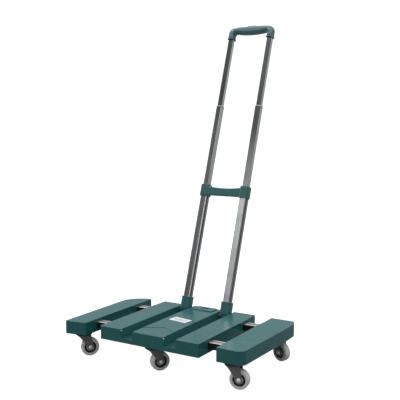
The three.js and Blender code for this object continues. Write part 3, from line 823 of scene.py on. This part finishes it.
for side_name in SIDES:
    wing_body = f"{side_name}_wing"
    piece(f"{wing_body}_shell", wing(side_name), wing_body, green_plastic, [wing_body])
    for end_name in ENDS:
        node = f"{side_name}_{end_name}_rail"
        piece(f"{node}_tube", rail(side_name, end_name), wing_body, rail_steel, [node])
        guide = f"{node}_guide"
        sleeve = rail_guide(side_name, end_name)
        piece(f"{guide}_sleeve", sleeve, "deck", black_plastic, [guide])

wing_chevron = bead([(232.0, -90.0), (261.0, -89.0), (277.0, -79.5)])
# the pale bead is a painted glint near the right wing's front
piece("right_wing_bead", wing_chevron, "right_wing", bead_painted_glint)

# ---------------------------------------------------------------- handle

handle_up = -Vector(JOINTS["middle_slide"]["axis"])
handle_back = handle_up.cross(Vector((1, 0, 0)))
CHANNEL_DEPTH = 0.5
CHANNEL_Y = (-7.5, -0.5)
HANDLE = Matrix.Translation(Vector(JOINTS["handle_tilt"]["pos_m"])) @ Matrix((
    (1, 0, 0), handle_back, handle_up
)).transposed().to_4x4()


def column(size, low, high, x, corner=TUBE_CORNER, edge=0.0):
    """A square column with rounded corners, standing at x."""
    return prism(rounded_rectangle(size, size, corner, x), low, high, edge)


def tube(stage, x):
    """A square tube; the lower stage has a shallow channel rolled into each side face."""
    spec = TUBES[stage]
    size, low, high = spec["size"], spec["bottom"], spec["top"]
    tools = [column(size - 2 * TUBE_WALL, low - 1, high + 1, x, TUBE_CORNER - TUBE_WALL)]
    for side in SIDES.values():
        if stage == "lower":
            face = x + side * (size / 2 - CHANNEL_DEPTH)
            tools.append(spanning(face, face + 2 * side, *CHANNEL_Y, low - 1, high + 1))
    return cut(column(size, low, high, x), *tools)


def paint_faces(solid, x, size, looks):
    """One painted look for front and back, then the side faces, the rounded corners and the channels:
    lit and shaded copies of one steel, painted light and shade by face direction.
    """
    set_looks(solid, *looks, tube_channel_painted_shade)
    for face in solid.data.polygons:
        turn = abs(face.normal.x)
        recessed = size / 2 - abs(face.center.x - x) > CHANNEL_DEPTH / 2
        if face.normal.x * (face.center.x - x) <= 0:
            continue
        if turn > 0.95:
            face.material_index = 3 if recessed else 1
        elif turn > 0.1:
            face.material_index = 2


def socket(side):
    """A sleeve for the lower tube on a round barrel that the pivot shaft runs through."""
    x = side * GROOVE_X
    half = SOCKET_WIDTH / 2
    barrel = bar(10.0, (x - half, 0, 0), (x + half, 0, 0), steps=40, edge=1.2)
    sleeve = prism(
        rounded_rectangle(SOCKET_WIDTH, SOCKET_DEPTH, 8.0, x, steps=8), 3.0, SOCKET_TOP, edge=1.2,
    )
    lip = prism(
        rounded_rectangle(SOCKET_WIDTH + 1, SOCKET_DEPTH + 1, 8.4, x, steps=8),
        SOCKET_TOP - 4.5, SOCKET_TOP, edge=0.9,
    )
    tube_hole = column(TUBES["lower"]["size"] + 2 * CLEARANCE, 6.7, SOCKET_TOP + 1, x)
    shaft_hole = bar(SHAFT_RADIUS + CLEARANCE, (x - SOCKET_WIDTH, 0, 0), (x + SOCKET_WIDTH, 0, 0))
    return soften(cut(join(sleeve, barrel, lip), tube_hole, shaft_hole), 0.7, 3)


def yoke():
    """Two clamps joined by a bar whose top edge dips and whose front face is dished."""
    rings = []
    steps = 24
    back = -3.0
    bottom = YOKE_BOTTOM + 2
    for step in range(steps + 1):
        t = -1 + 2 * step / steps
        dip = 1 - t * t
        top = YOKE_TOP - 4 - 5.5 * dip
        front = CLAMP_FRONT + 0.6 + 2.6 * dip
        middle = ((front + back) / 2, (top + bottom) / 2)
        section = rounded_rectangle(back - front, top - bottom, 3.2, *middle)
        rings.append([(GROOVE_X * t, y, z) for y, z in section])
    depth = CLAMP_BACK - CLAMP_FRONT
    clamps = both_sides(lambda side: prism(
        rounded_rectangle(CLAMP_WIDTH, depth, 7.5, side * GROOVE_X, -0.5, steps=8),
        YOKE_BOTTOM, YOKE_TOP, edge=1.4,
    ))
    lip = YOKE_TOP - 3
    bore = TUBES["lower"]["size"] + 2 * CLEARANCE
    throat = TUBES["middle"]["size"] + 2 * CLEARANCE
    bores = both_sides(lambda side: column(bore, YOKE_BOTTOM - 1, lip, side * GROOVE_X))
    throats = both_sides(lambda side: column(throat, lip - 1, YOKE_TOP + 1, side * GROOVE_X))
    return soften(cut(join(loft(rings), *clamps), *bores, *throats), 1.3, 3)


def grip_outline():
    """The grip's front view: rounded shoulders, a slightly crowned top and a hanging belly."""
    outer = GROOVE_X + GRIP_LEG / 2
    inner = GROOVE_X - GRIP_LEG / 2
    shoulder = 22.0
    armpit = 8.0
    belly = GRIP_TOP - GRIP_BAR
    half = [(0.0, GRIP_TOP)]
    half += curve(half[-1], (outer - shoulder - 14, GRIP_TOP), (outer - shoulder, GRIP_TOP - 2))
    half += curve(half[-1], (outer, GRIP_TOP - 3), (outer, GRIP_TOP - 3 - shoulder), steps=10)
    half += [(outer, GRIP_BOTTOM), (inner, GRIP_BOTTOM), (inner, belly - armpit + 4)]
    half += curve(half[-1], (inner, belly + 4), (inner - armpit, belly + 3), steps=6)
    half += curve(half[-1], (inner / 2, belly - 1.5), (0.0, belly - 1.5))
    left = [(-x, z) for x, z in reversed(half[1:-1])]
    return [(x, z) for x, z in reversed(half)] + [(x, z) for x, z in reversed(left)]


def grip():
    """The arched grip, hollow where the tubes, the release rods and the button go."""
    body = slab(grip_outline(), -GRIP_DEPTH / 2, GRIP_DEPTH / 2, edge=9.5, steps=8)
    lips = both_sides(lambda side: prism(
        rounded_rectangle(GRIP_LEG + 0.8, GRIP_DEPTH + 0.6, 6.6, side * GROOVE_X, steps=8),
        GRIP_BOTTOM, GRIP_BOTTOM + 4.2, edge=0.8,
    ))
    bore = TUBES["inner"]["size"] + 2 * CLEARANCE
    bores = both_sides(lambda side: column(
        bore, GRIP_BOTTOM - 1, GRIP_BOTTOM + TUBE_INSERTION, side * GROOVE_X,
    ))
    rod_ways = both_sides(lambda side: block(
        (side * GROOVE_X - ROD_WAY, -ROD_WAY, GRIP_BOTTOM + TUBE_INSERTION - 1),
        (side * GROOVE_X + ROD_WAY, ROD_WAY, ROD_WAY_TOP),
    ))
    channel = block(
        (-GROOVE_X - ROD_WAY, -ROD_WAY, ROD_WAY_BOTTOM), (GROOVE_X + ROD_WAY, ROD_WAY, ROD_WAY_TOP),
    )
    slot = prism(rounded_rectangle(*GRIP_SLOT), GRIP_TOP - 16, GRIP_TOP + 5)
    body = cut(join(body, *lips), *bores, *rod_ways, channel, slot)
    return soften(body, 0.5, 2, limit=38.0)


def grip_button():
    outline = rounded_rectangle(*GRIP_BUTTON)
    return prism(outline, GRIP_TOP - 12.7, GRIP_TOP + 1.6, edge=1.3, steps=4)


def grip_rivets():
    face = -GRIP_DEPTH / 2
    z = GRIP_TOP - 15
    return join(*both_sides(lambda side: bar(
        1.7, (side * (GROOVE_X - 4), face + 0.9, z), (side * (GROOVE_X - 4), face - 0.15, z), edge=0.6,
    )))


def collar(x):
    ring = column(COLLAR_WIDTH, COLLAR_BOTTOM, COLLAR_TOP, x, 3.0, edge=0.6)
    bore = TUBES["inner"]["size"] + 2 * CLEARANCE
    return cut(ring, column(bore, COLLAR_BOTTOM - 1, COLLAR_TOP + 1, x))


def on_handle(name, solid, body, look, nodes=()):
    """A piece drawn upright in the handle's frame."""
    piece(name, solid, body, look, nodes, place=HANDLE)


# Lit and shaded copies of one steel for each tube: painted light and shade by face direction, and by
# side of the cart.
TUBE_PAINTED_LIGHT_LOOKS = {  # front and back, side faces, rounded corners
    ("left", "lower"): (tube_grey, tube_side, tube_corner_painted_highlight),
    ("left", "middle"): (tube_grey, tube_side_painted_light, tube_side),
    ("left", "inner"): (tube_grey, tube_side_painted_light, tube_grey),
    ("right", "lower"): (tube_pale, tube_side, tube_grey),
    ("right", "middle"): (tube_fading, tube_side_painted_light, tube_fading),
    ("right", "inner"): (tube_fading, tube_side_painted_light, tube_fading),
}
STAGE_BODIES = {"lower": "handle", "middle": "middle_stage", "inner": "inner_stage"}
for side_name, side in SIDES.items():
    x = side * GROOVE_X
    on_handle(f"{side_name}_socket_sleeve", socket(side), "handle", handle_plastic,
              [f"{side_name}_socket"])
    for stage, body in STAGE_BODIES.items():
        drawn = tube(stage, x)
        looks = TUBE_PAINTED_LIGHT_LOOKS[side_name, stage]
        paint_faces(drawn, x, TUBES[stage]["size"], looks)
        node = f"{side_name}_{stage}_tube"
        on_handle(f"{node}_drawn", drawn, body, looks[0], [node])
    on_handle(f"{side_name}_collar_ring", collar(x), "middle_stage", bright_steel,
              [f"{side_name}_tube_collar"])
on_handle("yoke_moulding", yoke(), "handle", handle_plastic, ["yoke"])
on_handle("grip_moulding", grip(), "inner_stage", grip_plastic, ["grip"])
on_handle(
    "grip_button_cap", grip_button(), "grip_release", button_plastic, ["grip_button"],
)
on_handle("grip_rivets", grip_rivets(), "inner_stage", zinc)

# ---------------------------------------------------------------- casters


def caster_frame(name):
    """Origin on the swivel axis at deck height, Y along the axle and Z up."""
    swivel = Vector(JOINTS[f"{name}_swivel"]["pos_m"])
    axle = Vector(JOINTS[f"{name}_wheel_spin"]["axis"]).normalized()
    up = Vector((0, 0, 1))
    place = Matrix((axle.cross(up), axle, up)).transposed().to_4x4()
    return Matrix.Translation((swivel.x, swivel.y, 0)) @ place


def caster_mount():
    """The swivel race, the stem that goes up into the deck and the pin the fork turns on."""
    race = prism(circle(RACE_RADIUS, steps=48), RACE_BOTTOM, RACE_TOP, edge=1.4)
    stem = bar(STEM_RADIUS, (0, 0, RACE_TOP - 1), (0, 0, DECK_BOTTOM + 7))
    pin = bar(4.0, (0, 0, FORK_TOP - 6), (0, 0, RACE_BOTTOM + 1))
    head = prism(circle(7.0, steps=6), FORK_TOP - 6, FORK_TOP - 3.5, edge=0.5)
    return join(race, stem, pin, head)


def fork_front_edge():
    """The concave front edge of a fork leg, from the race down to the axle."""
    start = (-19.0, FORK_PLATE_TOP)
    return [start] + curve(start, (-7.0, FORK_TOP - 10.3), (6.5, AXLE_Z + 3.5), steps=6)


def fork_leg_outline():
    """Side view of a fork leg: wide under the race, swept down to a round end at the axle."""
    outline = [(19.5, FORK_PLATE_TOP), (0.0, FORK_PLATE_TOP + 0.25)]
    outline += fork_front_edge()
    outline += arc(TRAIL, AXLE_Z, 9.0, 165, 345, 12)
    outline += curve(outline[-1], (24.5, AXLE_Z + 12), (19.5, FORK_PLATE_TOP), steps=5)[:-1]
    return outline


def both_slabs(outline, inside, outside):
    """The same plate on both sides of the wheel."""
    return [slab(outline, -outside, -inside), slab(outline, inside, outside)]


def caster_fork():
    """Two pressed legs with stiffening ribs, joined by a round plate and a sloping apron."""
    top = FORK_PLATE_TOP
    plate = prism(circle(20.0, steps=48), top - 2.2, top, edge=0.8)
    raised = prism(circle(16.0, steps=48), top - 3.4, top - 0.5, edge=0.8)
    legs = both_slabs(fork_leg_outline(), FORK_INSIDE, FORK_OUTSIDE)
    rib_z = AXLE_Z + 7.5
    rib_outline = [(TRAIL - 3.5, rib_z), (TRAIL + 1.5, rib_z), (9.5, top - 2), (5.0, top - 2)]
    ribs = both_slabs(rib_outline, FORK_OUTSIDE - 0.6, FORK_OUTSIDE + 1)
    edge = fork_front_edge()[:4]
    apron = slab(edge + [(x + 2.2, z) for x, z in reversed(edge)], -12.5, 12.5)
    body = join(plate, raised, *legs, *ribs, apron)
    pin_hole = bar(4.3, (0, 0, top - 8), (0, 0, top + 1))
    axle_hole = bar(AXLE_RADIUS + CLEARANCE, (TRAIL, -20, AXLE_Z), (TRAIL, 20, AXLE_Z))
    return soften(cut(body, pin_hole, axle_hole), 0.55, 2)


def on_axle(solid):
    """Moves a solid turned about Z onto the axle."""
    return shifted(lying_along_y(solid), TRAIL, 0.0, AXLE_Z)


def mirrored_profile(points):
    """A profile given for one half, from the middle out, closed by its mirror image."""
    return points + [(radius, -height) for radius, height in reversed(points)]


def caster_tyre():
    """Half the tyre's section: tread, round shoulder and a shallow ring groove in its side."""
    shoulder = 4.2
    points = [(WHEEL_RADIUS, 2.0)]
    points += arc(WHEEL_RADIUS - shoulder, 10.0 - shoulder, shoulder, 0, 90, 7)
    points += [(20.5, 10.0), (19.6, 9.4), (18.2, 9.4), (17.9, 10.0), (TYRE_INSIDE, 9.8)]
    return on_axle(turned(mirrored_profile(points), 72))


def caster_hub():
    """Half the hub's section: bore, boss, dished web and rim."""
    bore = AXLE_RADIUS + CLEARANCE
    rim = TYRE_INSIDE - CLEARANCE
    points = [(bore, 0.4), (bore, 10.5), (6.8, 10.5), (7.4, 9.6)]
    points += [(11.2, 8.6), (11.8, 9.4), (16.2, 9.2), (rim, 8.6)]
    return on_axle(turned(mirrored_profile(points), 64))


def hub_discs():
    """The grey dished discs inside the black ring, one on each side."""
    profile = [(5.4, 9.0), (5.4, 10.7), (7.2, 10.6), (8.4, 9.9), (10.6, 9.5), (11.4, 10.0), (11.4, 9.0)]
    return join(*both_sides(lambda side: on_axle(
        turned([(radius, side * height) for radius, height in profile], 56)
    )))


def dome(radius, base, height, steps=7):
    """A domed head: half its section, from its centre out along the base and up to its crown."""
    turns = [math.radians(88.0 * step / steps) for step in range(steps + 1)]
    rise = [(radius * math.cos(turn), base + height * math.sin(turn)) for turn in turns]
    return [(0.01, base)] + rise


def bolt_end(side):
    """A washer and a domed head on one side of the fork."""
    face = FORK_OUTSIDE + 1.3
    washer = bar(6.0, (TRAIL, side * (face - 0.7), AXLE_Z), (TRAIL, side * face, AXLE_Z), edge=0.25)
    section = dome(5.4, face - 0.1, 3.2)
    head = on_axle(turned([(radius, side * height) for radius, height in section], 32))
    return join(washer, head)


def caster_bolt():
    shank = bar(
        AXLE_RADIUS, (TRAIL, -FORK_OUTSIDE - 2.3, AXLE_Z), (TRAIL, FORK_OUTSIDE + 2.3, AXLE_Z),
    )
    return join(shank, *both_sides(bolt_end))


def caster(name, mount_body):
    place = caster_frame(name)
    fork_body = f"{name}_fork"
    wheel_body = f"{name}_wheel"
    part = f"{name}_caster"
    race = caster_mount()
    piece(f"{part}_race", race, mount_body, black_plastic, [f"{part}_mount"], place)
    piece(f"{part}_yoke", caster_fork(), fork_body, fork_steel, [f"{part}_fork"], place)
    piece(f"{part}_tread", caster_tyre(), wheel_body, tyre_rubber, [f"{part}_tyre"], place)
    piece(f"{part}_rim", caster_hub(), wheel_body, hub_black, [f"{part}_hub"], place)
    piece(f"{part}_hub_discs", hub_discs(), wheel_body, hub_grey, (), place)
    piece(f"{part}_axle_bolt", caster_bolt(), fork_body, zinc, [f"{part}_bolt"], place)


for end_name in ENDS:
    caster(f"left_{end_name}", "left_wing")
    caster(f"centre_{end_name}", "deck")
    caster(f"right_{end_name}", "right_wing")

# ---------------------------------------------------------------- pieces kept from the CAD

for node, look in {
    "pivot_shaft": zinc, "fold_button_spring": zinc, "lock_pawl": fork_steel, "release_rods": zinc,
}.items():
    set_looks(frame["nodes"][node], look)

# ---------------------------------------------------------------- camera, floor and light


CAMERA_PLACE = (1076.1, -1660.5, 562.0)
CAMERA_AZIMUTH, CAMERA_PITCH = 31.28, 6.26  # degrees, the pitch downwards
CAMERA_LENS = 64.0


def add_camera():
    data = bpy.data.cameras.new("camera")
    data.sensor_width = 36.0
    data.lens = CAMERA_LENS
    data.clip_end = 60.0
    camera = bpy.data.objects.new("camera", data)
    camera.location = Vector(CAMERA_PLACE) * MM
    azimuth = math.radians(CAMERA_AZIMUTH)
    pitch = math.radians(CAMERA_PITCH)
    camera.rotation_euler = (math.radians(90) - pitch, 0.0, azimuth)
    SCENE.collection.objects.link(camera)
    SCENE.camera = camera


def add_floor():
    half = 20000.0
    outline = rounded_rectangle(2 * half, 2 * half, 100.0)
    floor = prism(outline, FLOOR - 40.0, FLOOR - 0.05)
    floor.name = "floor"
    floor.data.transform(Matrix.Scale(MM, 4))
    nodes = MaterialNodes("floor_white")
    tone = nodes.mix(nodes.span(nodes.noise(2.0), 0.3, 0.7), (0.24, 0.24, 0.24), (0.28, 0.28, 0.28))
    nodes.shade("Base Color", tone)
    nodes.shade("Roughness", 0.9)
    nodes.shade("Specular IOR Level", 0.1)
    nodes.shade("Emission Color", (1.0, 1.0, 1.0, 1.0))
    seen = nodes.new("ShaderNodeLightPath").outputs["Is Camera Ray"]
    nodes.shade("Emission Strength", nodes.span(seen, 0.0, 1.0, 0.0, 0.98))
    floor.data.materials.append(nodes.material)


STRIP_LIGHTS = ((-78.0, 2.2), (-2.0, 0.9))  # azimuth in degrees from -Y, and strength
BACKDROP_STRENGTH = 1.1  # what the camera itself sees behind the cart


def add_studio():
    """A soft box overhead, a pale wall behind the cart, a dim room in front and two strips."""
    world = bpy.data.worlds.new("studio")
    world.use_nodes = True
    SCENE.world = world
    studio = NodeTree(world.node_tree)
    background = studio.tree.nodes["Background"]
    background.inputs["Color"].default_value = (0.95, 1.0, 1.03, 1.0)
    direction = studio.new("ShaderNodeTexCoord").outputs["Generated"]
    split = studio.new("ShaderNodeSeparateXYZ")
    studio.link(direction, split.inputs["Vector"])

    def ranged(value, low, high, to_low, to_high):
        return studio.span(value, low, high, to_low, to_high, "SMOOTHSTEP")

    def towards(x, y):
        node = studio.new("ShaderNodeVectorMath", operation="DOT_PRODUCT")
        node.inputs[1].default_value = (x, y, 0.0)
        studio.link(direction, node.inputs[0])
        return node.outputs["Value"]

    def with_strip(light, azimuth, strength):
        """Adds an upright strip light, its azimuth measured from -Y towards +X."""
        across, along = math.sin(azimuth), -math.cos(azimuth)
        off_centre = towards(along, -across)
        squared = studio.math("MULTIPLY", off_centre, off_centre)
        narrow = ranged(squared, 0.004, 0.025, strength, 0.0)
        ahead = ranged(towards(across, along), 0.0, 0.3, 0.0, 1.0)
        return studio.math("ADD", light, studio.math("MULTIPLY", narrow, ahead))

    behind = ranged(towards(0.1, 0.99), -0.5, 0.6, 0.0, 1.0)
    front_light = ranged(split.outputs["Z"], 0.35, 0.75, 0.1, 1.3)
    back_light = ranged(split.outputs["Z"], 0.15, 0.75, 0.42, 1.2)
    blend = studio.new("ShaderNodeMix", data_type="FLOAT")
    studio.link(behind, blend.inputs["Factor"])
    studio.link(front_light, blend.inputs["A"])
    studio.link(back_light, blend.inputs["B"])
    light = blend.outputs["Result"]
    for azimuth, strength in STRIP_LIGHTS:
        light = with_strip(light, math.radians(azimuth), strength)
    seen = studio.new("ShaderNodeMix", data_type="FLOAT")
    seen.inputs["B"].default_value = BACKDROP_STRENGTH
    studio.link(studio.new("ShaderNodeLightPath").outputs["Is Camera Ray"], seen.inputs["Factor"])
    studio.link(light, seen.inputs["A"])
    studio.link(seen.outputs["Result"], background.inputs["Strength"])


add_camera()
add_floor()
add_studio()
SCENE.view_settings.view_transform = "Standard"

bpy.context.view_layer.update()
